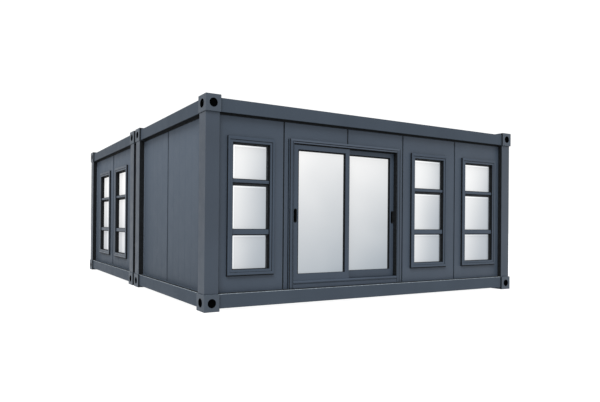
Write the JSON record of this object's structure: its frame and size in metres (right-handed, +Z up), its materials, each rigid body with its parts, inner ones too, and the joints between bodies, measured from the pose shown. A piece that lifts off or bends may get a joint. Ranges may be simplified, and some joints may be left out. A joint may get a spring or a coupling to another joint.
{
  "type": "modular home",
  "caption": "Low modular home of two steel-framed container modules side by side, with sandwich-panel walls, barred windows and a two-leaf sliding glass door.",
  "frame": {"origin": "on the ground under the centre of the home's bounding box", "axes": "+X along the front from left to right, +Y from the front with the sliding door to the back, +Z up"},
  "size_m": [6.055, 6.605, 2.79],
  "materials": {
    "fitting_steel": "satin slate grey paint",
    "frame_steel": "satin slate grey paint",
    "wall_panel": "satin slate grey paint with fine ribs",
    "joist_steel": "matt dark primer",
    "floor_board": "satin wood-look board",
    "ceiling_sheet": "satin white paint",
    "roof_sheet": "satin slate grey paint",
    "window_frame": "satin slate grey paint",
    "door_frame": "satin slate grey paint",
    "leaf_frame": "satin slate grey paint",
    "glass": "pale reflective glass",
    "handle": "satin black",
    "seal": "matt black",
    "joint_plate": "satin slate grey paint"
  },
  "bodies": {
    "building": {"front_bottom_fittings": "fitting_steel", "front_top_fittings": "fitting_steel", "rear_bottom_fittings": "fitting_steel", "rear_top_fittings": "fitting_steel", "front_posts": "frame_steel", "rear_posts": "frame_steel", "front_bottom_rails": "frame_steel", "front_top_rails": "frame_steel", "rear_bottom_rails": "frame_steel", "rear_top_rails": "frame_steel", "front_floor_joists": "joist_steel", "rear_floor_joists": "joist_steel", "front_floor": "floor_board", "rear_floor": "floor_board", "front_ceiling": "ceiling_sheet", "rear_ceiling": "ceiling_sheet", "front_roof": "roof_sheet", "rear_roof": "roof_sheet", "front_wall_left_bay": "wall_panel", "front_wall_door_sides": "wall_panel", "front_wall_door_header": "wall_panel", "front_wall_middle_bay": "wall_panel", "front_wall_right_bay": "wall_panel", "front_module_left_wall": "wall_panel", "front_module_right_wall": "wall_panel", "rear_module_left_wall": "wall_panel", "rear_module_right_wall": "wall_panel", "back_wall": "wall_panel", "front_window_frames": "window_frame", "front_window_glass": "glass", "left_window_frames": "window_frame", "left_window_glass": "glass", "right_window_frames": "window_frame", "right_window_glass": "glass", "back_window_frames": "window_frame", "back_window_glass": "glass", "door_frame": "door_frame", "joint_seal": "seal", "joint_plates": "joint_plate"},
    "left_leaf": {"left_leaf_frame": "leaf_frame", "left_leaf_glass": "glass", "left_leaf_handle": "handle"},
    "right_leaf": {"right_leaf_frame": "leaf_frame", "right_leaf_glass": "glass", "right_leaf_handle": "handle"}
  },
  "joints": [
    {"name": "left_leaf_slide", "type": "slide", "parent": "building", "child": "left_leaf", "axis": [1, 0, 0], "range_m": [0, 0.9]},
    {"name": "right_leaf_slide", "type": "slide", "parent": "building", "child": "right_leaf", "axis": [1, 0, 0], "range_m": [-0.9, 0]}
  ]
}
